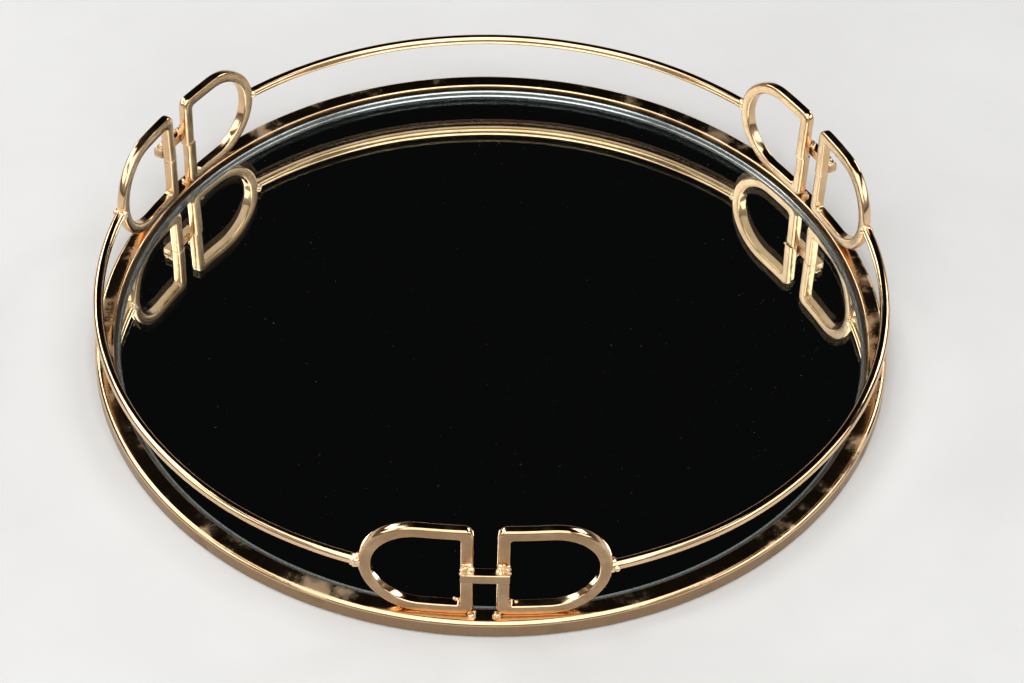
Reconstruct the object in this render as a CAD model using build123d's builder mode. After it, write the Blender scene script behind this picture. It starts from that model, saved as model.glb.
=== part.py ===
"""Round mirrored vanity tray with a wire gallery rail carried by three double-D ornaments.

Frame: millimetres, +Z up, origin on the resting plane at the tray's axis, the front ornament at -Y.
"""

import math
import os

from build123d import *

# ---------------------------------------------------------------- driving dimensions
outer_radius = 150.0  # rim of the tray
rim_width = 7.3  # radial width of the base ring
ring_height = 6.6  # base ring, underside to ledge
ring_clearance = 0.4  # gap between the ring and the surface the tray stands on
ring_outer_round = 1.6  # rounding of the outer top edge
ring_inner_round = 0.9  # rounding of the inner top edge
ring_bottom_chamfer = 0.3

felt_thickness = 0.6
felt_margin = 1.0
floor_thickness = 0.6
floor_seat_width = 3.6  # rebate in the ring that holds the floor plate
floor_clearance = 0.1
tape_thickness = 0.4
silvering_thickness = 0.1
glass_thickness = 4.0
glass_gap = 1.4  # radial gap between the glass and the ring
glass_arris = 0.5
tape_band_outer_radius = 138.0
tape_band_width = 20.0
tape_disc_radius = 32.0
silvering_edge_margin = 0.4

bar_width = 4.5  # square bar of the links, seen from the front
bar_depth = 4.0  # the same bar, in the radial direction
link_height = 42.2
link_half_span = 43.2  # middle of the ornament to the outer end of a link
link_half_gap = 3.9  # half the gap between the two uprights
link_corner_radius = 3.5
link_inner_corner_radius = 1.4
link_edge_round = 0.45
link_radius = 144.2  # tray axis to the middle of the bar, at the middle of an ornament
link_plan_radius = 240.0  # gentle bend of the links in plan
seam_thickness = 0.4  # brazed joint where the ends of a bent bar meet in the upright
seam_drop = 0.7  # that joint below the links' mid height
seam_proud = 0.1
crossbar_rise = 1.7  # crossbar above the links' mid height
crossbar_height = 4.0
crossbar_depth = 4.0
crossbar_seat = 0.2  # depth of the seats that fit the crossbar to the bent uprights

rail_radius = 146.8
rail_wire_diameter = 4.0
collar_foot_radius = 2.9  # braze collar round each end of the rail
collar_tip_radius = 2.2
collar_length = 3.2
collar_bite = 0.2  # how far a collar wraps onto the link
rail_coping_angle = 0.5  # the rail runs this far into a link before it is coped
crossbar_bead_radius = 2.1
crossbar_bead_offset = 0.6  # bead centre outward from the face of the uprights
foot_bead_radius = 2.2
outline_cut_depth = 8.0  # extrusion each way that covers the bend of the links in plan

ornament_azimuths = {"front": -90.0, "rear_right": 30.0, "rear_left": 150.0}
side_names = {-1: "left", 1: "right"}  # as seen from outside the tray

# ---------------------------------------------------------------- derived sizes
ledge_height = ring_clearance + ring_height
ring_inner_radius = outer_radius - rim_width
floor_bottom = felt_thickness
floor_top = floor_bottom + floor_thickness
floor_radius = ring_inner_radius + floor_seat_width - floor_clearance
tape_top = floor_top + tape_thickness
silvering_top = tape_top + silvering_thickness
glass_radius = ring_inner_radius - glass_gap
link_mid_height = ledge_height + link_height / 2
upright_middle = link_half_gap + bar_width / 2
ornament_spacing = 360 / len(ornament_azimuths)
link_end_radius = link_height / 2
link_end_centre = link_half_span - link_end_radius
plan_centre_offset = link_radius - link_plan_radius
end_angle_in_plan = link_half_span / link_plan_radius
ornament_half_angle = math.degrees(
    math.atan2(
        link_plan_radius * math.sin(end_angle_in_plan),
        plan_centre_offset + link_plan_radius * math.cos(end_angle_in_plan),
    )
)

os.makedirs("parts", exist_ok=True)


def save(piece, name):
    """Label a finished piece and write it as a STEP file of that name."""
    piece.part.label = name
    export_step(piece.part, f"parts/{name}.step")


def radial_direction(azimuth):
    """Unit vector out of the tray axis at an azimuth in degrees."""
    return Vector(math.cos(math.radians(azimuth)), math.sin(math.radians(azimuth)), 0)


def front_plane(azimuth):
    """Plane of an ornament: x along the rim, y up from mid height, z outward."""
    outward = radial_direction(azimuth)
    centre = outward * link_radius + Vector(0, 0, link_mid_height)
    return Plane(origin=centre, x_dir=Vector(0, 0, 1).cross(outward), z_dir=outward)


def link_outline(side, inset, corner_radius):
    """D-shaped sketch, set in from the link's outer edge, with x along the rim and y up."""
    upright_x = side * (link_half_gap + inset)
    arc_x = side * link_end_centre
    tip_x = side * (link_half_span - inset)
    half_height = link_height / 2 - inset
    with BuildSketch() as outline:
        with BuildLine():
            Line((upright_x, half_height), (arc_x, half_height))
            ThreePointArc((arc_x, half_height), (tip_x, 0), (arc_x, -half_height))
            Line((arc_x, -half_height), (upright_x, -half_height))
            Line((upright_x, -half_height), (upright_x, half_height))
        make_face()
        corners = outline.vertices().sort_by(lambda corner: abs(corner.X))[:2]
        fillet(corners, corner_radius)
    return outline.sketch


# ---------------------------------------------------------------- base
with BuildPart() as felt_pad:
    with BuildSketch():
        Circle(floor_radius - felt_margin)
    extrude(amount=felt_thickness)
save(felt_pad, "felt_pad")

with BuildPart() as floor_plate:
    with BuildSketch(Plane.XY.offset(floor_bottom)):
        Circle(floor_radius)
    extrude(amount=floor_thickness)
save(floor_plate, "floor_plate")

with BuildPart() as mounting_tape:
    with BuildSketch(Plane.XY.offset(floor_top)):
        Circle(tape_band_outer_radius)
        Circle(tape_band_outer_radius - tape_band_width, mode=Mode.SUBTRACT)
        Circle(tape_disc_radius)
    extrude(amount=tape_thickness)
save(mounting_tape, "mounting_tape")

with BuildPart() as mirror_silvering:
    with BuildSketch(Plane.XY.offset(tape_top)):
        Circle(glass_radius - glass_arris - silvering_edge_margin)
    extrude(amount=silvering_thickness)
save(mirror_silvering, "mirror_silvering")

with BuildPart() as mirror_glass:
    with BuildSketch(Plane.XY.offset(silvering_top)):
        Circle(glass_radius)
    extrude(amount=glass_thickness)
    chamfer(mirror_glass.edges().filter_by(GeomType.CIRCLE), glass_arris)
save(mirror_glass, "mirror_glass")

with BuildPart() as base_ring:
    with BuildSketch(Plane.XZ) as ring_section:
        with BuildLine():
            Polyline(
                (ring_inner_radius, floor_top),
                (ring_inner_radius + floor_seat_width, floor_top),
                (ring_inner_radius + floor_seat_width, ring_clearance),
                (outer_radius, ring_clearance),
                (outer_radius, ledge_height),
                (ring_inner_radius, ledge_height),
                close=True,
            )
        make_face()
        outer_corners = ring_section.vertices().group_by(Axis.X)[-1].sort_by(Axis.Y)
        fillet(outer_corners[-1], ring_outer_round)
        chamfer(outer_corners[0], ring_bottom_chamfer)
        inner_corners = ring_section.vertices().group_by(Axis.X)[0].sort_by(Axis.Y)
        fillet(inner_corners[-1], ring_inner_round)
    revolve(axis=Axis.Z)
save(base_ring, "base_ring")


# ---------------------------------------------------------------- ornaments
def build_link(azimuth, side):
    """D-shaped link of square bar, bent gently in plan, open by a thin seam across its upright."""
    half_depth = bar_depth / 2
    with BuildPart() as link:
        with BuildSketch(front_plane(azimuth)):
            add(link_outline(side, 0, link_corner_radius))
            add(link_outline(side, bar_width, link_inner_corner_radius), mode=Mode.SUBTRACT)
        extrude(amount=outline_cut_depth, both=True)
        with BuildSketch(Plane.XY.offset(ledge_height)):
            with Locations(radial_direction(azimuth) * plan_centre_offset):
                Circle(link_plan_radius + half_depth)
                Circle(link_plan_radius - half_depth, mode=Mode.SUBTRACT)
        extrude(amount=link_height, mode=Mode.INTERSECT)
        fillet(link.edges(), link_edge_round)
        with BuildSketch(front_plane(azimuth)):
            with Locations((side * upright_middle, -seam_drop)):
                Rectangle(2 * bar_width, seam_thickness)
        extrude(amount=outline_cut_depth, both=True, mode=Mode.SUBTRACT)
    return link


def build_crossbar(azimuth, own_links):
    """Short square bar across the outer faces of an ornament's two uprights, seated on them."""
    half_length = link_half_gap + bar_width
    with BuildPart() as crossbar:
        with BuildSketch(front_plane(azimuth).offset(bar_depth / 2 - crossbar_seat)):
            with Locations((0, crossbar_rise)):
                Rectangle(2 * half_length, crossbar_height)
        extrude(amount=crossbar_depth)
        fillet(crossbar.edges(), link_edge_round)
        for link in own_links:
            add(link.part, mode=Mode.SUBTRACT)
    return crossbar


def build_seam_braze(azimuth):
    """Thin braze wafers, slightly proud, that close the seams of an ornament's two uprights."""
    with BuildPart() as wafers:
        with BuildSketch(front_plane(azimuth)):
            with Locations((-upright_middle, -seam_drop), (upright_middle, -seam_drop)):
                Rectangle(bar_width + 2 * seam_proud, seam_thickness)
        extrude(amount=bar_depth / 2 + seam_proud, both=True)
    return wafers


def build_rail(start_azimuth, end_azimuth, links):
    """Wire arc between two ornaments, its ends coped to the links that it meets."""
    start = radial_direction(start_azimuth)
    section_plane = Plane(origin=(0, 0, link_mid_height), x_dir=start, z_dir=start.cross(Vector(0, 0, 1)))
    with BuildPart() as rail:
        with BuildSketch(section_plane):
            with Locations((rail_radius, 0)):
                Circle(rail_wire_diameter / 2)
        revolve(axis=Axis.Z, revolution_arc=end_azimuth - start_azimuth)
        for link in links:
            add(link.part, mode=Mode.SUBTRACT)
    return rail


def build_beads(centres, radius, neighbours):
    """Lumps of braze at the given centres, cut back to the pieces they join."""
    with BuildPart() as beads:
        with Locations(*centres):
            Sphere(radius)
        for neighbour in neighbours:
            add(neighbour.part, mode=Mode.SUBTRACT)
    return beads


def build_collars(collar_planes, neighbours):
    """Tapered braze collars round the rail ends, cut back to the pieces they join."""
    with BuildPart() as collars:
        with Locations(*collar_planes):
            Cone(
                collar_foot_radius,
                collar_tip_radius,
                collar_length,
                align=(Align.CENTER, Align.CENTER, Align.MIN),
            )
        for neighbour in neighbours:
            add(neighbour.part, mode=Mode.SUBTRACT)
    return collars


def rail_end_plane(azimuth, side):
    """Plane across the rail where it meets a link, z along the rail and away from the link."""
    outward = radial_direction(azimuth + side * ornament_half_angle)
    along = Vector(0, 0, 1).cross(outward) * side
    centre = outward * rail_radius + Vector(0, 0, link_mid_height)
    return Plane(origin=centre - along * collar_bite, x_dir=outward, z_dir=along)


def ornament_point(azimuth, along, outward, up):
    """Point given along the rim, outward and up from the middle of an ornament."""
    return front_plane(azimuth).from_local_coords(Vector(along, up, outward))


links = {}
crossbars = {}
for ornament, azimuth in ornament_azimuths.items():
    for side, side_name in side_names.items():
        links[ornament, side] = build_link(azimuth, side)
        save(links[ornament, side], f"{ornament}_link_{side_name}")
    crossbars[ornament] = build_crossbar(azimuth, [links[ornament, side] for side in side_names])
    save(crossbars[ornament], f"{ornament}_crossbar")

# ---------------------------------------------------------------- gallery rail
rail_end_angle = ornament_half_angle - rail_coping_angle
rail_spans = {
    "rail_right": ("front", "rear_right"),
    "rail_rear": ("rear_right", "rear_left"),
    "rail_left": ("rear_left", "front"),
}
rails = {}
for rail_name, (first, second) in rail_spans.items():
    start_azimuth = ornament_azimuths[first] + rail_end_angle
    end_azimuth = ornament_azimuths[first] + ornament_spacing - rail_end_angle
    rails[rail_name] = build_rail(start_azimuth, end_azimuth, [links[first, 1], links[second, -1]])
    save(rails[rail_name], rail_name)

# ---------------------------------------------------------------- braze
for ornament, azimuth in ornament_azimuths.items():
    own_links = [links[ornament, side] for side in side_names]
    rail_ends = [rail_end_plane(azimuth, side) for side in side_names]
    crossbar_joints = []
    feet = []
    for side in side_names:
        crossbar_joints.append(
            ornament_point(
                azimuth,
                side * upright_middle,
                bar_depth / 2 + crossbar_bead_offset,
                crossbar_rise + crossbar_height / 2,
            )
        )
        foot_middle = side * (link_half_gap + link_corner_radius / 2)
        feet.append(ornament_point(azimuth, foot_middle, bar_depth / 2, -link_height / 2))
    save(build_seam_braze(azimuth), f"{ornament}_seam_braze")
    rail_braze = build_collars(rail_ends, own_links + list(rails.values()))
    save(rail_braze, f"{ornament}_rail_braze")
    crossbar_braze = build_beads(
        crossbar_joints, crossbar_bead_radius, own_links + [crossbars[ornament]]
    )
    save(crossbar_braze, f"{ornament}_crossbar_braze")
    foot_braze = build_beads(feet, foot_bead_radius, own_links + [base_ring])
    save(foot_braze, f"{ornament}_foot_braze")
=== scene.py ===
"""Looks of the round mirrored vanity tray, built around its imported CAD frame.

Metres, +Z up, origin on the resting plane at the tray's axis, the front ornament at -Y.
"""

import math
import random

import bmesh
import bpy
import numpy as np
from mathutils import Matrix, Vector, noise


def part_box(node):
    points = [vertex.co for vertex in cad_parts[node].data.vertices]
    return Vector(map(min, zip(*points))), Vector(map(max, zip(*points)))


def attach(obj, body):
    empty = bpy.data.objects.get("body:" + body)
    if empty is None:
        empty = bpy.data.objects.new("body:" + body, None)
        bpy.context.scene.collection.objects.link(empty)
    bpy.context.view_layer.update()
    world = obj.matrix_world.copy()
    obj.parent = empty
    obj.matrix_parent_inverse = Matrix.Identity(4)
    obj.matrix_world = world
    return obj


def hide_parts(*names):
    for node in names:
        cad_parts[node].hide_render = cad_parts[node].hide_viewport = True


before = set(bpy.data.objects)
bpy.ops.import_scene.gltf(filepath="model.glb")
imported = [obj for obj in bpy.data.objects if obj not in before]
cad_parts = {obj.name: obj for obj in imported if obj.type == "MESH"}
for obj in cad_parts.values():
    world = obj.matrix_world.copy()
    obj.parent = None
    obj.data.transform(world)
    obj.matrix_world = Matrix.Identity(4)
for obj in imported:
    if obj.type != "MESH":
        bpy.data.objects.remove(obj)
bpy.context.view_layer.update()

# -------- sizes
MM = 0.001
ring_low, ring_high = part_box("base_ring")
glass_low, glass_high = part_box("mirror_glass")
silver_low, silver_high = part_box("mirror_silvering")
plate_low, plate_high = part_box("floor_plate")
felt_low, felt_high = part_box("felt_pad")
link_low, link_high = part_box("front_link_right")
crossbar_low, crossbar_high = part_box("front_crossbar")
rail_low, rail_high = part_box("rail_left")

outer_radius = ring_high.x
ledge_height = ring_high.z
ring_width = 7.3 * MM
ring_outer_round = 2.0 * MM
ring_inner_round = 0.9 * MM
ring_chamfer = 0.3 * MM
seat_width = 3.6 * MM
glass_arris = 0.5 * MM
silver_gap = 0.03 * MM  # keeps the mirror face clear of the glass above it
plate_edge_round = 0.1 * MM
felt_edge_round = 0.22 * MM

link_height = link_high.z - ledge_height
link_half_gap = link_low.x
link_half_span = link_high.x
link_mid_height = ledge_height + link_height / 2
bar_width = 4.5 * MM
bar_depth = 4.0 * MM
link_radius = 144.2 * MM  # of the middle of the bar, where an ornament is nearest the axis
link_plan_radius = 240.0 * MM  # of an ornament's gentle curve seen from above
link_corner_radius = 3.5 * MM
link_inner_corner = 1.4 * MM
link_outer_round = 1.15 * MM
link_inner_round = 0.7 * MM
crossbar_round = 0.5 * MM
bar_crown = 0.05 * MM
bar_end_round = 0.4 * MM
seam_height = -0.7 * MM  # seam across each upright, from the links' mid height
seam_half_gap = 0.12 * MM

crossbar_half_length = crossbar_high.x
crossbar_bottom = crossbar_low.z - link_mid_height
crossbar_top = crossbar_high.z - link_mid_height
crossbar_face = -crossbar_low.y - link_radius
crossbar_back = bar_depth / 2

wire_radius = (rail_high.z - rail_low.z) / 2
rail_height = (rail_high.z + rail_low.z) / 2
rail_radius = -rail_low.x - wire_radius
rail_bite = math.radians(0.4)  # how far a rail end runs into the link

ornament_azimuths = {"front": -90.0, "rear_right": 30.0, "rear_left": 150.0}
side_names = {-1: "left", 1: "right"}
# Degrees that the upper and the lower part of each upright lean outward towards the seam.
upright_leans = {
    ("front", -1): (0.5, 0.3),
    ("front", 1): (-0.6, 0.4),
    ("rear_right", -1): (0.6, 1.0),
    ("rear_right", 1): (-1.4, 1.0),
    ("rear_left", -1): (1.2, -1.2),
    ("rear_left", 1): (-0.9, -0.7),
}
ornament_half_angle = math.atan2(
    link_half_span,
    link_radius - link_plan_radius + math.sqrt(link_plan_radius**2 - link_half_span**2),
)
# Each rail runs anticlockwise from its first ornament to its second.
rail_spans = {
    "rail_right": ("front", "rear_right"),
    "rail_rear": ("rear_right", "rear_left"),
    "rail_left": ("rear_left", "front"),
}

# -------- colours
gold_light = (0.84, 0.59, 0.36, 1.0)
gold_deep = (0.72, 0.47, 0.26, 1.0)
gold_dark = (0.30, 0.18, 0.08, 1.0)
# Painted shade: darker gold for the links' brushed faces.
gold_face_shade = (0.33, 0.215, 0.125, 1.0)
# Painted shade: darker gold for the ring below its outer rounding.
rim_side_shade = (0.235, 0.155, 0.09, 1.0)
braze_light = (0.93, 0.70, 0.45, 1.0)
braze_dark = (0.50, 0.31, 0.15, 1.0)
glass_tint = (0.955, 0.985, 0.968, 1.0)
arris_dark = (0.14, 0.19, 0.19, 1.0)
arris_light = (0.28, 0.35, 0.35, 1.0)
glass_side_dark = (0.60, 0.64, 0.65, 1.0)
glass_side_light = (0.84, 0.87, 0.88, 1.0)
silver_cloudy = (0.90, 0.915, 0.905, 1.0)
silver_bright = (0.93, 0.935, 0.93, 1.0)
pinhole_grey = (0.25, 0.24, 0.22, 1.0)
paint_dark = (0.20, 0.21, 0.22, 1.0)
paint_light = (0.30, 0.31, 0.32, 1.0)
steel_dark = (0.44, 0.44, 0.45, 1.0)
steel_light = (0.60, 0.60, 0.60, 1.0)
rust_brown = (0.26, 0.15, 0.08, 1.0)
foam_dark = (0.72, 0.71, 0.68, 1.0)
foam_light = (0.86, 0.86, 0.84, 1.0)
felt_dark = (0.010, 0.010, 0.011, 1.0)
felt_light = (0.045, 0.045, 0.048, 1.0)
lint_grey = (0.22, 0.21, 0.20, 1.0)
floor_dark = (0.62, 0.615, 0.605, 1.0)
floor_light = (0.66, 0.655, 0.645, 1.0)
studio_horizon = (0.12, 0.12, 0.12, 1.0)
studio_front = (0.42, 0.42, 0.42, 1.0)
studio_back = (0.003, 0.003, 0.0032, 1.0)


# -------- materials
noise_span = (0.3, 0.7)  # most values of a noise texture lie between these
full = (0.0, 1.0)
glass_ior = 1.52


def make(tree, kind, inputs=(), **settings):
    """Add a shader node; an input is another node's output socket or a plain value."""
    node = tree.nodes.new(f"ShaderNode{kind}")
    for key, value in settings.items():
        setattr(node, key, value)
    for key, value in dict(inputs).items():
        if isinstance(value, bpy.types.NodeSocket):
            tree.links.new(value, node.inputs[key])
        else:
            node.inputs[key].default_value = value
    return node


def new_material(name, **values):
    """Material with a Principled shader whose plain values are set on its own sockets."""
    material = bpy.data.materials.new(name)
    material.use_nodes = True
    shader = material.node_tree.nodes["Principled BSDF"]
    for key, value in values.items():
        shader.inputs[key.replace("_", " ")].default_value = value
    return material, material.node_tree, shader


def noise_at(tree, vector, scale, detail, rough):
    """Value of a noise texture, 0 to 1."""
    inputs = {"Vector": vector, "Scale": scale, "Detail": detail, "Roughness": rough}
    return make(tree, "TexNoise", inputs).outputs["Fac"]


def remap(tree, value, source, target):
    """Value moved smoothly from one (low, high) range to another and held inside it."""
    inputs = {"Value": value, "From Min": source[0], "From Max": source[1]}
    inputs.update({"To Min": target[0], "To Max": target[1]})
    node = make(tree, "MapRange", inputs, interpolation_type="SMOOTHSTEP")
    return node.outputs["Result"]


def math_node(tree, operation, first, second):
    """Result of a Math node."""
    node = make(tree, "Math", {0: first, 1: second}, operation=operation)
    return node.outputs["Value"]


def scaled(tree, vector, scale):
    """Vector stretched by a factor along each axis."""
    node = make(tree, "VectorMath", {0: vector, 1: scale}, operation="MULTIPLY")
    return node.outputs["Vector"]


def blend_colours(tree, factor, first, second):
    """Colour between two colours."""
    node = make(tree, "Mix", {0: factor, 6: first, 7: second}, data_type="RGBA")
    return node.outputs[2]


def two_tone(tree, pattern, first, second):
    """Colour that wanders between two with a noise pattern."""
    return blend_colours(tree, remap(tree, pattern, noise_span, full), first, second)


def set_colour(tree, shader, colour):
    """Colour of the surface."""
    tree.links.new(colour, shader.inputs["Base Color"])


def set_roughness(tree, shader, roughness):
    """Roughness of the surface."""
    tree.links.new(roughness, shader.inputs["Roughness"])


def bumped(tree, shader, heights):
    """Give the shader a bump made of (height, depth in millimetres) layers."""
    normal = None
    for height, depth in heights:
        inputs = {"Height": height, "Distance": depth * MM, "Strength": 1.0}
        if normal is not None:
            inputs["Normal"] = normal
        normal = make(tree, "Bump", inputs).outputs["Normal"]
    tree.links.new(normal, shader.inputs["Normal"])


def object_place(tree):
    """Position on the piece, in metres."""
    return make(tree, "TexCoord").outputs["Object"]


def height_of(tree, place):
    """Height part of a position."""
    return make(tree, "SeparateXYZ", {0: place}).outputs["Z"]


def rim_direction(tree):
    """Unit direction out from the axis plus the height, for seamless patterns round the tray."""
    place = object_place(tree)
    flat = scaled(tree, place, (1, 1, 0))
    unit = make(tree, "VectorMath", {0: flat}, operation="NORMALIZE").outputs["Vector"]
    upright = scaled(tree, place, (0, 0, 1))
    both = make(tree, "VectorMath", {0: unit, 1: upright}, operation="ADD")
    return both.outputs["Vector"]


def bar_coordinates(tree):
    """Distance along the bar, distance round it and a number of its own, from the mesh."""
    return make(tree, "Attribute", attribute_name="bar_place").outputs["Vector"]


def bar_face_share(tree):
    """How much a point belongs to a brushed face, 0 to 1, from the mesh."""
    return make(tree, "Attribute", attribute_name="bar_face").outputs["Fac"]


def brushed_rim_material():
    """Gold ring: radial brush strokes on the ledge, upright ones outside, dull smudges, and
    painted shade that darkens the ring below its outer rounding.
    """
    material, tree, shader = new_material("brushed_gold_rim", Metallic=1.0, Anisotropic=0.35)
    around = rim_direction(tree)
    place = object_place(tree)
    strokes = noise_at(tree, scaled(tree, around, (1, 1, 6)), 420, 5, 0.65)
    fine = noise_at(tree, scaled(tree, around, (1, 1, 3)), 1300, 3, 0.6)
    smudge = noise_at(tree, place, 60, 5, 0.62)
    pits = noise_at(tree, place, 1500, 2, 0.5)
    colour = two_tone(tree, smudge, gold_deep, gold_light)
    # Painted shade: below the top rounding the gold is blended towards a darker brown that stands
    # in for the dark reflection on the ring's side.
    side_top = (ledge_height - 1.7 * MM, ledge_height - 1.1 * MM)
    side_share = remap(tree, height_of(tree, place), side_top, (0.85, 0.0))
    colour = blend_colours(tree, side_share, colour, rim_side_shade)
    shade = remap(tree, strokes, (0.62, 0.8), (0.0, 0.25))
    set_colour(tree, shader, blend_colours(tree, shade, colour, gold_dark))
    brushed = remap(tree, strokes, noise_span, (0.11, 0.17))
    dulling_and_top_shade = remap(tree, smudge, (0.48, 0.68), (0.0, 0.36))
    rough = math_node(tree, "ADD", brushed, dulling_and_top_shade)
    side_rough = math_node(tree, "MULTIPLY", side_share, 0.16)
    set_roughness(tree, shader, math_node(tree, "ADD", rough, side_rough))
    bumped(tree, shader, [(strokes, 0.005), (fine, 0.002), (pits, 0.002)])
    return material


def brushed_bar_material():
    """Gold square bar: brushed front and back faces painted darker as shade, with more painted
    shade on them towards the top, and polished sides.
    """
    material, tree, shader = new_material("brushed_gold_links", Metallic=1.0)
    along = bar_coordinates(tree)
    place = object_place(tree)
    face = bar_face_share(tree)
    strokes = noise_at(tree, scaled(tree, along, (60, 2600, 1)), 1, 5, 0.6)
    fine = noise_at(tree, scaled(tree, along, (180, 7000, 1)), 1, 3, 0.6)
    smudge = noise_at(tree, place, 120, 4, 0.6)
    ripple = noise_at(tree, place, 260, 2, 0.4)
    specks = noise_at(tree, place, 1400, 2, 0.5)
    colour = two_tone(tree, smudge, gold_deep, gold_light)
    # Painted shade: the brushed faces are blended most of the way to a darker brown, by an amount
    # that wanders with the smudge noise.
    face_shade = math_node(tree, "MULTIPLY", remap(tree, smudge, (0.3, 0.75), (0.95, 0.7)), face)
    colour = blend_colours(tree, face_shade, colour, gold_face_shade)
    stain = math_node(tree, "MULTIPLY", remap(tree, strokes, (0.6, 0.8), (0.0, 0.5)), face)
    colour = blend_colours(tree, stain, colour, gold_dark)
    # Painted shade: the brushed faces darken towards the top of the links.
    upper_half = (link_mid_height, link_high.z)
    dulling_and_top_shade = remap(tree, height_of(tree, place), upper_half, (0.0, 0.4))
    top_shade = math_node(tree, "MULTIPLY", dulling_and_top_shade, face)
    colour = blend_colours(tree, top_shade, colour, gold_dark)
    spots = remap(tree, specks, (0.72, 0.78), (0.0, 0.6))
    set_colour(tree, shader, blend_colours(tree, spots, colour, gold_dark))
    brushed = remap(tree, strokes, noise_span, (0.22, 0.36))
    polished = remap(tree, smudge, (0.35, 0.7), (0.07, 0.22))
    added = math_node(tree, "MULTIPLY", math_node(tree, "SUBTRACT", brushed, polished), face)
    set_roughness(tree, shader, math_node(tree, "ADD", polished, added))
    scratch = math_node(tree, "MULTIPLY", strokes, remap(tree, face, full, (0.12, 1.0)))
    bumped(tree, shader, [(scratch, 0.03), (fine, 0.004), (ripple, 0.02)])
    return material


def polished_wire_material():
    """Drawn gold wire: long faint die lines, a gentle ripple, small dull specks."""
    material, tree, shader = new_material("polished_gold_wire", Metallic=1.0)
    along = bar_coordinates(tree)
    place = object_place(tree)
    lines = noise_at(tree, scaled(tree, along, (25, 2200, 1)), 1, 4, 0.6)
    ripple = noise_at(tree, place, 210, 2, 0.4)
    smudge = noise_at(tree, place, 55, 4, 0.6)
    specks = noise_at(tree, place, 1300, 2, 0.5)
    colour = two_tone(tree, smudge, gold_deep, gold_light)
    spots = remap(tree, specks, (0.73, 0.79), (0.0, 0.7))
    set_colour(tree, shader, blend_colours(tree, spots, colour, gold_dark))
    drawn = remap(tree, lines, noise_span, (0.05, 0.12))
    dulling_and_top_shade = remap(tree, smudge, (0.45, 0.75), (0.0, 0.08))
    set_roughness(tree, shader, math_node(tree, "ADD", drawn, dulling_and_top_shade))
    bumped(tree, shader, [(lines, 0.01), (ripple, 0.04)])
    return material


def braze_material():
    """Gold braze: bright frozen lumps with dull flux stains."""
    material, tree, shader = new_material("gold_braze", Metallic=1.0)
    place = object_place(tree)
    lumps = noise_at(tree, place, 900, 4, 0.6)
    stain = noise_at(tree, place, 420, 3, 0.6)
    stained = remap(tree, stain, (0.5, 0.72), full)
    set_colour(tree, shader, blend_colours(tree, stained, braze_light, braze_dark))
    set_roughness(tree, shader, remap(tree, stain, (0.35, 0.7), (0.12, 0.34)))
    bumped(tree, shader, [(lumps, 0.18)])
    return material


def clear_glass_material():
    """Float glass: a faint green, dust and hair scratches on its faces."""
    values = {"Base_Color": glass_tint, "IOR": glass_ior, "Transmission_Weight": 1.0}
    material, tree, shader = new_material("clear_glass", **values)
    place = object_place(tree)
    scratches = noise_at(tree, scaled(tree, place, (30, 1600, 1)), 1, 4, 0.7)
    dust = noise_at(tree, place, 1700, 1, 0.4)
    film = noise_at(tree, place, 14, 4, 0.6)
    specks = remap(tree, dust, (0.77, 0.80), (0.0, 0.35))
    marks = math_node(tree, "MULTIPLY", specks, remap(tree, film, (0.4, 0.7), (0.2, 1.0)))
    hair = remap(tree, scratches, (0.74, 0.80), (0.0, 0.05))
    set_roughness(tree, shader, math_node(tree, "ADD", marks, hair))
    bumped(tree, shader, [(film, 0.004)])
    return material


def ground_glass_material():
    """Seamed arrises of the glass: ground, grey green, slightly chipped."""
    values = {"IOR": glass_ior, "Transmission_Weight": 0.55}
    material, tree, shader = new_material("ground_glass_edge", **values)
    around = rim_direction(tree)
    grind = noise_at(tree, scaled(tree, around, (1, 1, 2)), 900, 4, 0.6)
    chips = noise_at(tree, object_place(tree), 1100, 2, 0.5)
    set_colour(tree, shader, two_tone(tree, grind, arris_dark, arris_light))
    set_roughness(tree, shader, remap(tree, grind, noise_span, (0.18, 0.38)))
    bumped(tree, shader, [(grind, 0.006), (chips, 0.01)])
    return material


def glass_side_material():
    """Upright edge of the glass, mirror-like because the real one turns light back inside."""
    values = {"IOR": glass_ior, "Metallic": 0.75}
    material, tree, shader = new_material("ground_glass_side", **values)
    around = rim_direction(tree)
    cut = noise_at(tree, scaled(tree, around, (1, 1, 30)), 260, 4, 0.6)
    set_colour(tree, shader, two_tone(tree, cut, glass_side_dark, glass_side_light))
    set_roughness(tree, shader, remap(tree, cut, noise_span, (0.10, 0.26)))
    bumped(tree, shader, [(cut, 0.01)])
    return material


def silver_material():
    """Silvering seen through the glass, with a few dull pinholes."""
    material, tree, shader = new_material("mirror_silver", Metallic=1.0)
    place = object_place(tree)
    pinholes = noise_at(tree, place, 900, 1, 0.4)
    cloud = noise_at(tree, place, 9, 3, 0.6)
    colour = two_tone(tree, cloud, silver_cloudy, silver_bright)
    spots = remap(tree, pinholes, (0.80, 0.82), (0.0, 0.7))
    set_colour(tree, shader, blend_colours(tree, spots, colour, pinhole_grey))
    set_roughness(tree, shader, remap(tree, pinholes, (0.79, 0.82), (0.0, 0.3)))
    bumped(tree, shader, [(cloud, 0.002)])
    return material


def backing_paint_material():
    """Grey protective paint behind the silvering."""
    material, tree, shader = new_material("mirror_backing_paint", Roughness=0.5)
    roll = noise_at(tree, object_place(tree), 500, 4, 0.6)
    set_colour(tree, shader, blend_colours(tree, roll, paint_dark, paint_light))
    bumped(tree, shader, [(roll, 0.03)])
    return material


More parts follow.
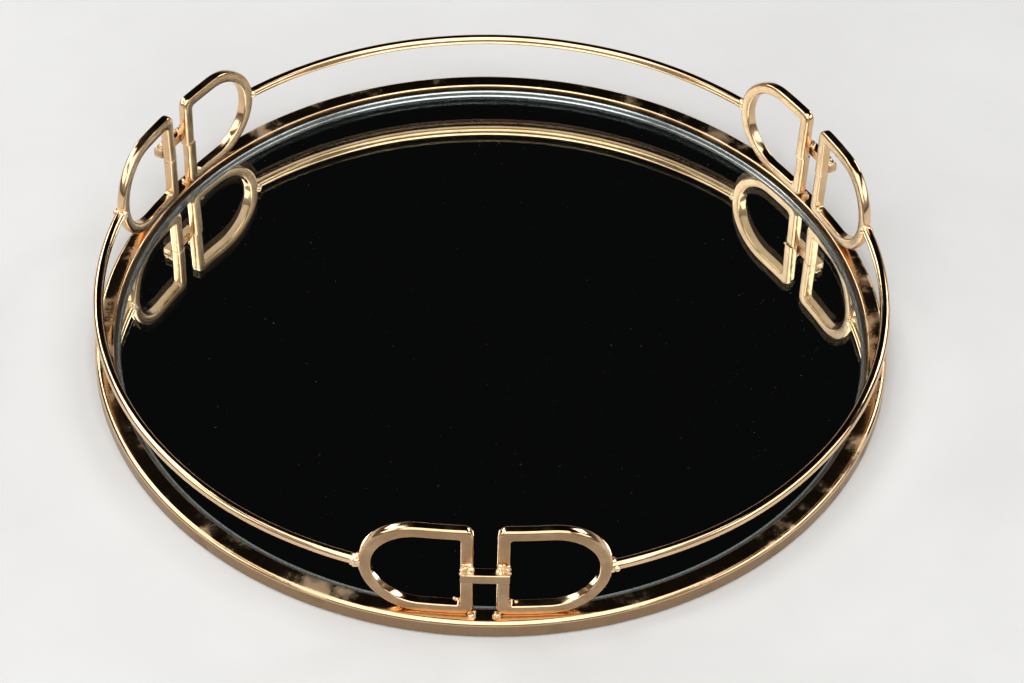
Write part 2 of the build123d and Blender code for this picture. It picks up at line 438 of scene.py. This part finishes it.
def steel_material():
    """Plain steel sheet with rolling lines and light rust blooms."""
    material, tree, shader = new_material("floor_steel", Metallic=1.0)
    place = object_place(tree)
    rolled = noise_at(tree, scaled(tree, place, (30, 1500, 1)), 1, 5, 0.6)
    bloom = noise_at(tree, place, 60, 5, 0.6)
    colour = two_tone(tree, rolled, steel_dark, steel_light)
    rust = remap(tree, bloom, (0.64, 0.78), (0.0, 0.5))
    set_colour(tree, shader, blend_colours(tree, rust, colour, rust_brown))
    set_roughness(tree, shader, remap(tree, rolled, noise_span, (0.26, 0.46)))
    bumped(tree, shader, [(rolled, 0.03)])
    return material


def foam_material():
    """White closed-cell mounting tape."""
    material, tree, shader = new_material("foam_tape", Roughness=0.9)
    inputs = {"Vector": object_place(tree), "Scale": 1400.0}
    cells = make(tree, "TexVoronoi", inputs).outputs["Distance"]
    middle = remap(tree, cells, (0.0, 0.7), full)
    set_colour(tree, shader, blend_colours(tree, middle, foam_dark, foam_light))
    bumped(tree, shader, [(cells, 0.2)])
    return material


def felt_material():
    """Black needled felt: matted fibres, paler lint and a soft sheen."""
    values = {"Roughness": 0.95, "Sheen_Weight": 0.5, "Sheen_Roughness": 0.5}
    material, tree, shader = new_material("black_felt", Specular_IOR_Level=0.2, **values)
    place = object_place(tree)
    fibres = noise_at(tree, scaled(tree, place, (1, 3, 1)), 900, 6, 0.75)
    mats = noise_at(tree, place, 160, 4, 0.6)
    lint = noise_at(tree, scaled(tree, place, (6, 1, 1)), 420, 2, 0.5)
    colour = two_tone(tree, fibres, felt_dark, felt_light)
    specks = remap(tree, lint, (0.76, 0.80), (0.0, 0.5))
    set_colour(tree, shader, blend_colours(tree, specks, colour, lint_grey))
    bumped(tree, shader, [(mats, 0.4), (fibres, 0.3)])
    return material


def floor_material():
    """Pale matt studio floor with a very faint mottle."""
    material, tree, shader = new_material("studio_floor", Roughness=0.75)
    mottle = noise_at(tree, object_place(tree), 9, 5, 0.6)
    set_colour(tree, shader, two_tone(tree, mottle, floor_dark, floor_light))
    return material


# -------- unevenness
# Each kind is (depth, size of its features, seed), in millimetres.
rim_ripple = (0.03, 14, 3)
rim_burr = (0.16, 0.9, 9)
plate_wave = (0.02, 40, 5)
felt_lumps = (0.05, 2.2, 11)
felt_fray = (0.175, 1.1, 13)
link_ripple = (0.035, 7, 0)
link_dents = (0.015, 2.2, 2)
crossbar_ripple = (0.03, 5, 0)
rail_sway = (0.14, 33, 0)
rail_lift = (0.12, 41, 3)
wire_wear = (0.02, 5, 5)
braze_lumps = (0.12, 0.9, 4)
braze_grain = (0.05, 0.4, 6)
burr_reach = 1.3 * MM  # up from the ring's lower edge
fray_reach = 0.6 * MM  # in from the felt's cut edge

# Seeds that keep the noise and the beads of the pieces apart.
link_seed, side_seed = 17, 5
crossbar_seed, rail_seed, bead_seed = 40, 90, 50
braze_seeds = {"rail": 60, "seam": 90, "crossbar": 70, "foot": 80}


# -------- mesh helpers
sharp_angle = math.radians(32)  # a sharper edge stays hard


def new_object(name, data):
    """Object in the scene, at the origin."""
    made = bpy.data.objects.new(name, data)
    bpy.context.scene.collection.objects.link(made)
    return made


def finish_piece(name, mesh, nodes, materials):
    """Turn a mesh into a shown piece that stands for CAD nodes and rides on the part."""
    for material in materials:
        mesh.materials.append(material)
    piece = new_object(name, mesh)
    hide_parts(*nodes)
    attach(piece, "root")
    return piece


def mesh_from(name, points, faces):
    """Smooth-shaded mesh with outward normals and hard edges only where it turns sharply."""
    mesh = bpy.data.meshes.new(name)
    mesh.from_pydata([tuple(point) for point in points], [], faces)
    form = bmesh.new()
    form.from_mesh(mesh)
    bmesh.ops.recalc_face_normals(form, faces=form.faces)
    form.to_mesh(mesh)
    form.free()
    mesh.shade_smooth()
    mesh.set_sharp_from_angle(angle=sharp_angle)
    return mesh


def ring_of_quads(first, second, count, closed=True):
    """Quads between two rows of points that start at the given indices."""
    quads = []
    for j in range(count if closed else count - 1):
        following = (j + 1) % count
        quads.append((first + j, first + following, second + following, second + j))
    return quads


def sweep_mesh(name, rows):
    """Closed bar through rows of section points, capped at both ends."""
    count = len(rows[0])
    points = [point for row in rows for point in row]
    faces = []
    for i in range(len(rows) - 1):
        faces += ring_of_quads(i * count, (i + 1) * count, count)
    last = (len(rows) - 1) * count
    faces.append(tuple(range(count)))
    faces.append(tuple(last + j for j in reversed(range(count))))
    return mesh_from(name, points, faces)


def revolve(profile, segments, closed, shape=None):
    """Points and quads of a profile turned about the axis; shape may move each point."""
    points = []
    for i in range(segments):
        angle = 2 * math.pi * i / segments
        for radius, height in profile:
            if shape is not None:
                radius, height = shape(radius, angle, height)
            points.append((radius * math.cos(angle), radius * math.sin(angle), height))
    count = len(profile)
    faces = []
    for i in range(segments):
        faces += ring_of_quads(i * count, (i + 1) % segments * count, count, closed)
    return points, faces


def disc_mesh(name, profile, segments, shape=None):
    """Disc whose open profile runs from near the axis below to near the axis above."""
    points, faces = revolve(profile, segments, False, shape)
    count = len(profile)
    faces.append(tuple(i * count for i in range(segments)))
    faces.append(tuple(i * count + count - 1 for i in range(segments)))
    return mesh_from(name, points, faces)


def arc_point(centre, radius, angle):
    """Point on a circle, angle in degrees."""
    turn = math.radians(angle)
    return centre[0] + radius * math.cos(turn), centre[1] + radius * math.sin(turn)


def arc_points(centre, radius, start, end, steps):
    """Points on an arc, both ends included."""
    return [arc_point(centre, radius, start + (end - start) * i / steps) for i in range(steps + 1)]


def line_to(profile, end, steps):
    """Carry a profile on from its last point in a straight line."""
    (x, y), (end_x, end_y) = profile[-1], end
    for i in range(1, steps + 1):
        profile.append((x + (end_x - x) * i / steps, y + (end_y - y) * i / steps))


def rough_at(point, size, seed):
    """Smooth noise from -1 to 1 at a point, with features of about a size in millimetres."""
    return noise.noise(Vector(point) / (size * MM) + Vector((seed, seed * 0.7, seed * 1.3)))


def uneven(point, kind, seed=0):
    """Unevenness of a kind at a point: up to its depth either way."""
    depth, size, own_seed = kind
    return depth * MM * rough_at(point, size, seed + own_seed)


def raised(point, kind, seed=0):
    """Unevenness of a kind that only adds: from nothing to twice its depth."""
    return kind[0] * MM + uneven(point, kind, seed)


def store(mesh, name, kind, values):
    """Keep a value for each point of a mesh, for its material to read."""
    attribute = mesh.attributes.new(name, kind, "POINT")
    field = "vector" if kind == "FLOAT_VECTOR" else "value"
    attribute.data.foreach_set(field, np.array(values, np.float32).ravel())


# -------- base
rim_segments = 1200
glass_segments = 720
silver_segments = 480
plate_segments = 480
felt_segments = 720
glass_hub = 0.02  # radius of a disc's middle facet
plate_hub = 0.01
felt_hub = 0.005
# Faces whose normals rise less than these are the side and the arrises.
side_flatness, arris_flatness = 0.3, 0.9


def rim_profile():
    """Closed section of the base ring, from its inner foot up over the ledge and down outside."""
    inner = outer_radius - ring_width
    seat = inner + seat_width
    bottom = ring_low.z
    top = ledge_height
    inner_centre = (inner + ring_inner_round, top - ring_inner_round)
    outer_centre = (outer_radius - ring_outer_round, top - ring_outer_round)
    profile = [(inner, plate_high.z)]
    line_to(profile, (inner, top - ring_inner_round), 5)
    profile += arc_points(inner_centre, ring_inner_round, 180, 90, 8)[1:]
    line_to(profile, (outer_centre[0], top), 8)
    profile += arc_points(outer_centre, ring_outer_round, 90, 0, 12)[1:]
    line_to(profile, (outer_radius, bottom + ring_chamfer), 8)
    line_to(profile, (outer_radius - ring_chamfer, bottom), 3)
    line_to(profile, (seat, bottom), 3)
    line_to(profile, (seat, plate_high.z), 2)
    return profile


def rim_shape(radius, angle, height):
    """Hand-finished ring: a slow ripple outside, and a filed lower edge with small burrs."""
    place = (outer_radius * math.cos(angle), outer_radius * math.sin(angle), height)
    low_edge = max(0.0, 1 - abs(height - ring_low.z) / burr_reach)
    burr = low_edge * max(0.0, uneven(place, rim_burr))
    if radius > outer_radius - ring_width / 2:
        radius = radius - burr - abs(uneven(place, rim_ripple))
    return radius, height


def build_rim():
    """Metal ring whose top is the ledge round the mirror."""
    mesh = mesh_from("rim", *revolve(rim_profile(), rim_segments, True, rim_shape))
    material = brushed_rim_material()
    finish_piece("base_ring_brushed", mesh, ["base_ring"], [material])


def build_glass():
    """Glass disc: clear faces, ground arrises and a silvery upright edge."""
    radius = glass_high.x
    low, high = glass_low.z, glass_high.z
    profile = [(glass_hub, low)]
    line_to(profile, (radius - glass_arris, low), 6)
    line_to(profile, (radius, low + glass_arris), 2)
    line_to(profile, (radius, high - glass_arris), 4)
    line_to(profile, (radius - glass_arris, high), 2)
    line_to(profile, (glass_hub, high), 6)
    mesh = disc_mesh("glass", profile, glass_segments)
    materials = [clear_glass_material(), ground_glass_material(), glass_side_material()]
    piece = finish_piece("mirror_glass_disc", mesh, ["mirror_glass"], materials)
    for face in piece.data.polygons:
        flatness = abs(face.normal.z)
        if flatness < side_flatness:
            face.material_index = 2
        elif flatness < arris_flatness:
            face.material_index = 1


def build_silvering():
    """Silvered and painted back of the mirror."""
    radius = silver_high.x
    low, high = silver_low.z, silver_high.z - silver_gap
    profile = [(glass_hub, low), (radius, low), (radius, high), (glass_hub, high)]
    mesh = disc_mesh("silvering", profile, silver_segments)
    materials = [silver_material(), backing_paint_material()]
    nodes = ["mirror_silvering"]
    piece = finish_piece("mirror_silver_film", mesh, nodes, materials)
    for face in piece.data.polygons:
        face.material_index = 0 if face.normal.z > side_flatness else 1


def plate_shape(radius, angle, height):
    """Sheet steel that isn't quite flat."""
    place = (radius * math.cos(angle), radius * math.sin(angle), 0)
    return radius, height + uneven(place, plate_wave)


def build_floor_plate():
    """Thin sheet-steel floor."""
    radius = plate_high.x
    low, high = plate_low.z, plate_high.z
    edge = plate_edge_round
    rings = 20
    profile = [(plate_hub, low)]
    line_to(profile, (radius - edge, low), rings)
    profile += arc_points((radius - edge, low + edge), edge, -90, 0, 4)[1:]
    profile += arc_points((radius - edge, high - edge), edge, 0, 90, 4)
    line_to(profile, (plate_hub, high), rings)
    mesh = disc_mesh("plate", profile, plate_segments, plate_shape)
    finish_piece("floor_plate_sheet", mesh, ["floor_plate"], [steel_material()])


def felt_shape(radius, angle, height):
    """Felt with a soft lumpy face and a fuzzy cut edge, all above the resting plane."""
    place = (radius * math.cos(angle), radius * math.sin(angle), height)
    edge = max(0.0, 1 - (felt_high.x - radius) / fray_reach)
    radius = radius - edge * raised(place, felt_fray)
    if height < (felt_low.z + felt_high.z) / 2:
        height = height + raised(place, felt_lumps)
    return radius, height


def build_felt():
    """Felt disc cut from sheet and glued under the floor plate."""
    radius = felt_high.x
    low, high = felt_low.z, felt_high.z
    edge = felt_edge_round
    rings = 110
    profile = [(felt_hub, low)]
    line_to(profile, (radius - edge, low), rings)
    profile += arc_points((radius - edge, low + edge), edge, -90, 0, 4)[1:]
    line_to(profile, (radius, high), 2)
    line_to(profile, (felt_hub, high), 4)
    mesh = disc_mesh("felt", profile, felt_segments, felt_shape)
    piece = finish_piece("felt_pad_sheet", mesh, ["felt_pad"], [felt_material()])


# -------- ornaments
section_steps = 6  # steps along each rounded edge and each side of a bar's section
face_offset = 2.2  # keeps the brush patterns of a bar's faces apart
bar_pattern_step = 0.013  # moves the pattern between bars


def bar_section(width, depth, outer_round, inner_round):
    """Section of a bar as (across from its outer side, outward, share of brushed face)."""
    half = depth / 2 - bar_crown
    near = bar_crown
    far = width - bar_crown
    corners = [
        ((near + outer_round, half - outer_round), outer_round, 180, 90),
        ((far - inner_round, half - inner_round), inner_round, 90, 0),
        ((far - inner_round, -half + inner_round), inner_round, 0, -90),
        ((near + outer_round, -half + outer_round), outer_round, -90, -180),
    ]
    section = []
    for k, (centre, radius, start, end) in enumerate(corners):
        for i in range(section_steps + 1):
            angle = start + (end - start) * i / section_steps
            across, out = arc_point(centre, radius, angle)
            section.append((across, out, abs(math.sin(math.radians(angle))) ** 3))
        next_centre, next_radius, next_start, _ = corners[(k + 1) % len(corners)]
        here = section[-1]
        there = arc_point(next_centre, next_radius, next_start)
        outward = Vector(arc_point((0, 0), 1, end))
        for i in range(1, section_steps):
            t = i / section_steps
            bulge = bar_crown * (1 - (2 * t - 1) ** 2)
            across = here[0] + (there[0] - here[0]) * t + outward.x * bulge
            out = here[1] + (there[1] - here[1]) * t + outward.y * bulge
            section.append((across, out, abs(outward.y)))
    return section


def on_ornament(azimuth, along, up, out):
    """Point given along the rim, up from mid height and outward from the middle of the bar."""
    plan = math.sqrt((link_plan_radius + out) ** 2 - along**2)
    radial = link_radius - link_plan_radius + plan
    turn = math.radians(azimuth)
    x = radial * math.cos(turn) - along * math.sin(turn)
    y = radial * math.sin(turn) + along * math.cos(turn)
    return Vector((x, y, link_mid_height + up))


def corner_stations(steps):
    """Outer and inner points of a link's top corner, walked from its upright to its top bar."""
    half = link_height / 2
    start = half - bar_width - link_inner_corner
    inner_centre = (link_half_gap + bar_width + link_inner_corner, start)
    outer_centre = (link_half_gap + link_corner_radius, half - link_corner_radius)
    straight = half - link_corner_radius - start
    quarter = math.pi / 2 * link_corner_radius
    stations = []
    for i in range(steps + 1):
        t = i / steps
        inner = arc_point(inner_centre, link_inner_corner, 180 - 90 * t)
        walked = t * (2 * straight + quarter)
        turned = walked - straight
        if turned < 0:
            outer = (link_half_gap, start + walked)
        elif turned < quarter:
            outer = arc_point(outer_centre, link_corner_radius, 180 - 90 * turned / quarter)
        else:
            outer = (link_half_gap + link_corner_radius + turned - quarter, half)
        stations.append((outer, inner))
    return stations


def link_stations():
    """Outer and inner points round a D link, from just above its seam to just below it."""
    half = link_height / 2
    corner = corner_stations(16)
    (corner_outer, _), (bar_outer, bar_inner) = corner[0], corner[-1]
    centre = link_half_span - half
    inner_x = link_half_gap + bar_width
    upright_steps = 20
    bar_steps = 10
    arc_steps = 72

    def upright(start, end):
        heights = [start + (end - start) * i / upright_steps for i in range(upright_steps)]
        return [((link_half_gap, height), (inner_x, height)) for height in heights]

    upper_bar = []
    for i in range(1, bar_steps):
        t = i / bar_steps
        outer = (bar_outer[0] + (centre - bar_outer[0]) * t, half)
        inner = (bar_inner[0] + (centre - bar_inner[0]) * t, half - bar_width)
        upper_bar.append((outer, inner))
    outer_arc = arc_points((centre, 0), half, 90, -90, arc_steps)
    inner_arc = arc_points((centre, 0), half - bar_width, 90, -90, arc_steps)
    upper = upright(seam_height + seam_half_gap, corner_outer[1]) + corner + upper_bar
    lower = upright(-seam_height + seam_half_gap, corner_outer[1]) + corner + upper_bar
    mirrored = [((a[0], -a[1]), (b[0], -b[1])) for a, b in reversed(lower)]
    return upper + list(zip(outer_arc, inner_arc)) + mirrored


def upright_shift(ornament, side, height, is_upper):
    """How far a leaning upright stands out of the link's plane at a height."""
    lean = upright_leans[ornament, side][0 if is_upper else 1]
    root = link_height / 2 - link_corner_radius
    return math.tan(math.radians(lean)) * max(0.0, root - abs(height - seam_height))


def dented(point, ripple):
    """Point moved a little along a slanting line, so that every face of a bar is touched."""
    return point + Vector((ripple, -0.6 * ripple, 0.8 * ripple))


def finish_bar(node, rows, along, faces, material):
    """Piece swept through rows of points, with its places and face shares for the material."""
    mesh = sweep_mesh(node, rows)
    store(mesh, "bar_place", "FLOAT_VECTOR", along)
    store(mesh, "bar_face", "FLOAT", faces)
    finish_piece(f"{node}_bar", mesh, [node], [material])


def build_link(ornament, side, section, material):
    """One D-shaped link, swept as a single bent bar."""
    azimuth = ornament_azimuths[ornament]
    seed = link_seed * list(ornament_azimuths).index(ornament) + side_seed * side
    rows, along, faces = [], [], []
    walked = 0.0
    previous = None
    stations = link_stations()
    for index, (outer, inner) in enumerate(stations):
        middle = Vector(((outer[0] + inner[0]) / 2, (outer[1] + inner[1]) / 2))
        if previous is not None:
            walked += (middle - previous).length
        previous = middle
        shift = 0.0
        if middle.x < link_half_gap + bar_width:
            shift = upright_shift(ornament, side, middle.y, index < len(stations) / 2)
        row = []
        for across, out, face in section:
            share = across / bar_width
            u = outer[0] + (inner[0] - outer[0]) * share
            v = outer[1] + (inner[1] - outer[1]) * share
            point = on_ornament(azimuth, side * u, v, out + shift)
            ripple = uneven(point, link_ripple, seed) + uneven(point, link_dents, seed)
            row.append(dented(point, ripple))
            along.append((walked, across * face_offset + out, seed * bar_pattern_step))
            faces.append(face)
        rows.append(row)
    finish_bar(f"{ornament}_link_{side_names[side]}", rows, along, faces, material)


def crossbar_stations():
    """Places along a crossbar and how far its section draws in there, to round its ends."""
    steps = 40
    reach = crossbar_half_length - 2 * bar_end_round
    rounded_end = [(crossbar_half_length, bar_end_round)]
    for angle in (60, 30, 0):
        back = bar_end_round * (1 - math.sin(math.radians(angle)))
        inset = bar_end_round * (1 - math.cos(math.radians(angle)))
        rounded_end.append((crossbar_half_length - back, inset))
    places = [(-u, inset) for u, inset in rounded_end]
    places += [(-reach + 2 * reach * i / steps, 0.0) for i in range(steps + 1)]
    places += reversed(rounded_end)
    return places


def build_crossbar(ornament, section, material):
    """Short square bar on the outer faces of the two uprights of an ornament."""
    azimuth = ornament_azimuths[ornament]
    seed = crossbar_seed + list(ornament_azimuths).index(ornament)
    height = crossbar_top - crossbar_bottom
    out_middle = (crossbar_face + crossbar_back) / 2
    rows, along, faces = [], [], []
    for u, inset in crossbar_stations():
        row = []
        for across, out, face in section:
            v = crossbar_bottom + inset + across * (1 - 2 * inset / height)
            w = out_middle + out * (1 - 2 * inset / bar_depth)
            point = on_ornament(azimuth, u, v, w)
            row.append(dented(point, uneven(point, crossbar_ripple, seed)))
            along.append((u, across * face_offset + out, seed * bar_pattern_step))
            faces.append(face)
        rows.append(row)
    finish_bar(f"{ornament}_crossbar", rows, along, faces, material)


# -------- gallery rail
wire_stations = 420
wire_sides = 28
wire_pattern_step = 0.01  # moves the pattern between rails
wire_end_share = 12  # a rail runs true over one part in this many of its length at each end


def build_rail(name, start, end, seed, material):
    """Wire arc between two ornaments, not quite true, as hand-bent wire is."""
    rows, along = [], []
    for i in range(wire_stations + 1):
        azimuth = start + (end - start) * i / wire_stations
        place = Vector((math.cos(azimuth), math.sin(azimuth), 0)) * rail_radius
        ends = min(1.0, wire_end_share * min(i, wire_stations - i) / wire_stations)
        sway = ends * uneven(place, rail_sway, seed)
        lift = ends * uneven(place, rail_lift, seed)
        reach = wire_radius - raised(place, wire_wear, seed)
        row = []
        for j in range(wire_sides):
            turn = 2 * math.pi * j / wire_sides
            radial = rail_radius + sway + reach * math.cos(turn)
            height = rail_height + lift + reach * math.sin(turn)
            row.append(Vector((radial * math.cos(azimuth), radial * math.sin(azimuth), height)))
            walked, round_wire = azimuth * rail_radius, wire_radius * abs(math.pi - turn)
            along.append((walked, round_wire, seed * wire_pattern_step))
        rows.append(row)
    mesh = sweep_mesh(name, rows)
    store(mesh, "bar_place", "FLOAT_VECTOR", along)
    finish_piece(f"{name}_wire", mesh, [name], [material])


# -------- braze
braze_voxel = 0.14 * MM
bead_swell, bead_grain = 0.22, 1.3  # share of a bead's radius, and size in millimetres
braze_roughness = {"rail": 1.0, "seam": 0.4, "crossbar": 1.0, "foot": 1.0}

# Sleeve of beads along a rail end, in millimetres from the link's tip.
sleeve_count = 26
sleeve_start, sleeve_length, sleeve_jitter = -0.5, 3.0, 0.3
sleeve_reach, sleeve_reach_loss, sleeve_reach_spread = 1.75, 0.95, (0.6, 1.1)
sleeve_bead, sleeve_bead_loss, sleeve_bead_spread = 1.3, 0.35, (0.7, 1.25)

# Beads along a seam, in millimetres; they follow the bar's section at a smaller scale.
seam_inset, seam_slope, seam_wobble, seam_radii = 0.95, 0.06, 0.1, (0.2, 0.33)

# Clusters of beads, in millimetres along, up and out: middle from an anchor, half size, radii.
crossbar_shelf = ((0, 0.15, 1.7), (2.0, 0.2, 1.4), 26, (0.5, 0.85))
crossbar_bank = ((0, 0.9, 0.25), (1.8, 0.9, 0.35), 14, (0.45, 0.8))
foot_corner = ((0.5, 0.5, 1.6), (1.1, 0.3, 1.2), 10, (0.5, 1.0))
foot_inside = ((1.2, 0, -1.2), (1.6, 0.1, 0.6), 6, (0.3, 0.6))
seam_spur = ((-0.35, 0, 0.35), (0.3, 0.4, 0.3), 3, (0.3, 0.5))


def build_braze(node, beads, seed, rough, material):
    """Frozen lumps of braze: beads run together and roughened."""
    form = bmesh.new()
    for centre, radius in beads:
        made = bmesh.ops.create_icosphere(form, subdivisions=3, radius=radius)
        for vert in made["verts"]:
            vert.co *= 1 + bead_swell * rough_at(vert.co + centre, bead_grain, seed)
            vert.co += centre
    mesh = bpy.data.meshes.new(f"{node}_beads")
    form.to_mesh(mesh)
    form.free()
    lumps = new_object(f"{node}_beads", mesh)
    remesh = lumps.modifiers.new("remesh", "REMESH")
    remesh.mode = "VOXEL"
    remesh.voxel_size = braze_voxel
    smooth = lumps.modifiers.new("smooth", "SMOOTH")
    smooth.iterations = 2
    graph = bpy.context.evaluated_depsgraph_get()
    joined = bpy.data.meshes.new_from_object(lumps.evaluated_get(graph), depsgraph=graph)
    bpy.data.objects.remove(lumps)
    joined.shade_smooth()
    for vert in joined.vertices:
        bump = uneven(vert.co, braze_lumps, seed) + uneven(vert.co, braze_grain, seed)
        vert.co += vert.normal * rough * bump
    joined.name = f"{node}_lumps"
    finish_piece(f"{node}_lumps", joined, [node], [material])


def cluster(azimuth, side, anchor, kind, dice):
    """Beads of a kind scattered in a small box near an anchor given along, up and outward."""
    offset, spread, count, radii = kind
    middle = [part + away * MM for part, away in zip(anchor, offset)]
    middle[0] *= side
    beads = []
    for _ in range(count):
        place = [part + reach * MM * dice.uniform(-1, 1) for part, reach in zip(middle, spread)]
        beads.append((on_ornament(azimuth, *place), MM * dice.uniform(*radii)))
    return beads


def rail_sleeve(azimuth, side, dice):
    """Beads round the wire where it meets a link, thinning along the wire."""
    tip = math.radians(azimuth) + side * ornament_half_angle
    beads = []
    for i in range(sleeve_count):
        t = i / (sleeve_count - 1)
        jitter = dice.uniform(-sleeve_jitter, sleeve_jitter)
        walked = (sleeve_start + sleeve_length * t + jitter) * MM
        turn = dice.uniform(0, 2 * math.pi)
        off = (sleeve_reach - sleeve_reach_loss * t) * MM * dice.uniform(*sleeve_reach_spread)
        angle = tip + side * walked / rail_radius
        radial = rail_radius + off * math.cos(turn)
        height = rail_height + off * math.sin(turn)
        centre = Vector((radial * math.cos(angle), radial * math.sin(angle), height))
        radius = (sleeve_bead - sleeve_bead_loss * t) * MM * dice.uniform(*sleeve_bead_spread)
        beads.append((centre, radius))
    return beads


def seam_beads(ornament, side, section, dice):
    """Small beads round an upright's section that leave a burr along its seam, and a spur."""
    azimuth = ornament_azimuths[ornament]
    shift = upright_shift(ornament, side, seam_height, True)
    middle = bar_width / 2
    slope = dice.uniform(-seam_slope, seam_slope)
    beads = []
    for across, out, _ in section:
        u = link_half_gap + middle + (across - middle) * seam_inset
        wobble = seam_wobble * MM * dice.uniform(-1, 1)
        v = seam_height + slope * (u - link_half_gap) + wobble
        radius = MM * dice.uniform(*seam_radii)
        beads.append((on_ornament(azimuth, side * u, v, out * seam_inset + shift), radius))
    inner_corner = (link_half_gap + bar_width, seam_height, shift - bar_depth / 2)
    return beads + cluster(azimuth, side, inner_corner, seam_spur, dice)


def build_ornament_braze(ornament, section, material):
    """Braze of one ornament: rail ends, seams, crossbar joints and feet."""
    azimuth = ornament_azimuths[ornament]
    index = list(ornament_azimuths).index(ornament)
    dice = random.Random(bead_seed + index)
    foot = -link_height / 2
    joint = (link_half_gap + bar_width / 2, crossbar_top, bar_depth / 2)
    outside = (link_half_gap, foot, 0)
    inside = (link_half_gap + bar_width, foot + bar_width, 0)
    beads = {"rail": [], "seam": [], "crossbar": [], "foot": []}
    for side in side_names:
        beads["rail"] += rail_sleeve(azimuth, side, dice)
        beads["seam"] += seam_beads(ornament, side, section, dice)
        beads["crossbar"] += cluster(azimuth, side, joint, crossbar_shelf, dice)
        beads["crossbar"] += cluster(azimuth, side, joint, crossbar_bank, dice)
        beads["foot"] += cluster(azimuth, side, outside, foot_corner, dice)
        beads["foot"] += cluster(azimuth, side, inside, foot_inside, dice)
    for joined, parts in beads.items():
        node = f"{ornament}_{joined}_braze"
        rough = braze_roughness[joined]
        build_braze(node, parts, braze_seeds[joined] + index, rough, material)


# -------- camera, light and stage
camera_place = Vector((3.2, -742.95, 714.45)) * MM
camera_yaw = math.radians(0.36)  # to the right of straight ahead
camera_pitch = math.radians(44.03)  # below the horizon
camera_roll = math.radians(1.49)
camera_lens = 94.81
camera_sensor = 36
camera_clip = 0.01

floor_reach = 6.0
horizon_band = (0.0, 0.4)  # where the horizon's tone ends
front_band = (-0.5, 0.05)  # from the bright front to the dark back
# Softboxes that face the tray: place, size and power in watts.
softboxes = {
    "key_softbox": ((-0.95, 0.42, 1.0), (0.7, 0.7), 5.0),
    "front_softbox": ((0.0, -1.5, 1.5), (2.8, 1.4), 26.0),
    "overhead_softbox": ((0.0, -0.35, 1.6), (2.2, 1.0), 14.0),
    "left_softbox": ((-1.5, -0.2, 0.9), (1.2, 0.7), 6.0),
    "right_softbox": ((1.5, -0.2, 0.9), (1.2, 0.7), 6.0),
    "rear_left_softbox": ((-0.9, 0.9, 0.62), (0.5, 0.35), 2.6),
    "rear_right_softbox": ((0.95, 0.8, 0.7), (0.45, 0.45), 3.0),
}


def build_camera():
    """Camera at the photograph's viewing angle."""
    ahead = Vector((math.sin(camera_yaw), math.cos(camera_yaw), 0))
    forward = ahead * math.cos(camera_pitch) - Vector((0, 0, math.sin(camera_pitch)))
    level_up = ahead * math.sin(camera_pitch) + Vector((0, 0, math.cos(camera_pitch)))
    level_right = Vector((math.cos(camera_yaw), -math.sin(camera_yaw), 0))
    right = level_right * math.cos(camera_roll) + level_up * math.sin(camera_roll)
    up = level_up * math.cos(camera_roll) - level_right * math.sin(camera_roll)
    camera_data = bpy.data.cameras.new("camera")
    camera_data.sensor_width = camera_sensor
    camera_data.lens = camera_lens
    camera_data.clip_start = camera_clip
    camera = new_object("camera", camera_data)
    axes = Matrix((right, up, -forward)).transposed()
    camera.matrix_world = Matrix.Translation(camera_place) @ axes.to_4x4()
    bpy.context.scene.camera = camera


def add_softbox(name, place, size, power):
    """Rectangular softbox that faces the tray."""
    light = bpy.data.lights.new(name, "AREA")
    light.shape = "RECTANGLE"
    light.size, light.size_y = size
    light.energy = power
    lamp = new_object(name, light)
    lamp.location = place
    lamp.rotation_mode = "QUATERNION"
    lamp.rotation_quaternion = (-Vector(place)).to_track_quat("-Z", "Y")


def build_floor():
    """Pale floor that the tray stands on."""
    reach = floor_reach
    mesh = bpy.data.meshes.new("floor")
    corners = [(-reach, -reach, 0), (reach, -reach, 0), (reach, reach, 0), (-reach, reach, 0)]
    mesh.from_pydata(corners, [], [(0, 1, 2, 3)])
    mesh.materials.append(floor_material())
    new_object("studio_floor", mesh)


def build_studio():
    """Softboxes in a dim studio, bright in front of the tray and dark behind and above it."""
    world = bpy.data.worlds.new("studio")
    world.use_nodes = True
    bpy.context.scene.world = world
    bpy.context.scene.view_settings.view_transform = "Standard"
    tree = world.node_tree
    direction = make(tree, "TexCoord").outputs["Generated"]
    parts = make(tree, "SeparateXYZ", {0: direction}).outputs
    behind = remap(tree, parts["Y"], front_band, full)
    walls = blend_colours(tree, behind, studio_front, studio_back)
    above = remap(tree, parts["Z"], horizon_band, full)
    colour = blend_colours(tree, above, studio_horizon, walls)
    tree.links.new(colour, tree.nodes["Background"].inputs["Color"])
    for name, (place, size, power) in softboxes.items():
        add_softbox(name, place, size, power)


# -------- the tray
build_camera()
build_floor()
build_studio()
build_rim()
build_glass()
build_silvering()
build_floor_plate()
build_felt()

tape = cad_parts["mounting_tape"]
tape.data.materials.clear()
tape.data.materials.append(foam_material())

bar_gold = brushed_bar_material()
braze_gold = braze_material()
wire_gold = polished_wire_material()
crossbar_height = crossbar_top - crossbar_bottom
link_section = bar_section(bar_width, bar_depth, link_outer_round, link_inner_round)
crossbar_section = bar_section(crossbar_height, bar_depth, crossbar_round, crossbar_round)
for ornament_name in ornament_azimuths:
    for link_side in side_names:
        build_link(ornament_name, link_side, link_section, bar_gold)
    build_crossbar(ornament_name, crossbar_section, bar_gold)
    build_ornament_braze(ornament_name, link_section, braze_gold)

for rail_index, (rail_name, (first, second)) in enumerate(rail_spans.items()):
    turn_to = ornament_azimuths[second] + (360 if second == "front" else 0)
    rail_start = math.radians(ornament_azimuths[first]) + ornament_half_angle - rail_bite
    rail_end = math.radians(turn_to) - ornament_half_angle + rail_bite
    build_rail(rail_name, rail_start, rail_end, rail_seed + rail_index, wire_gold)
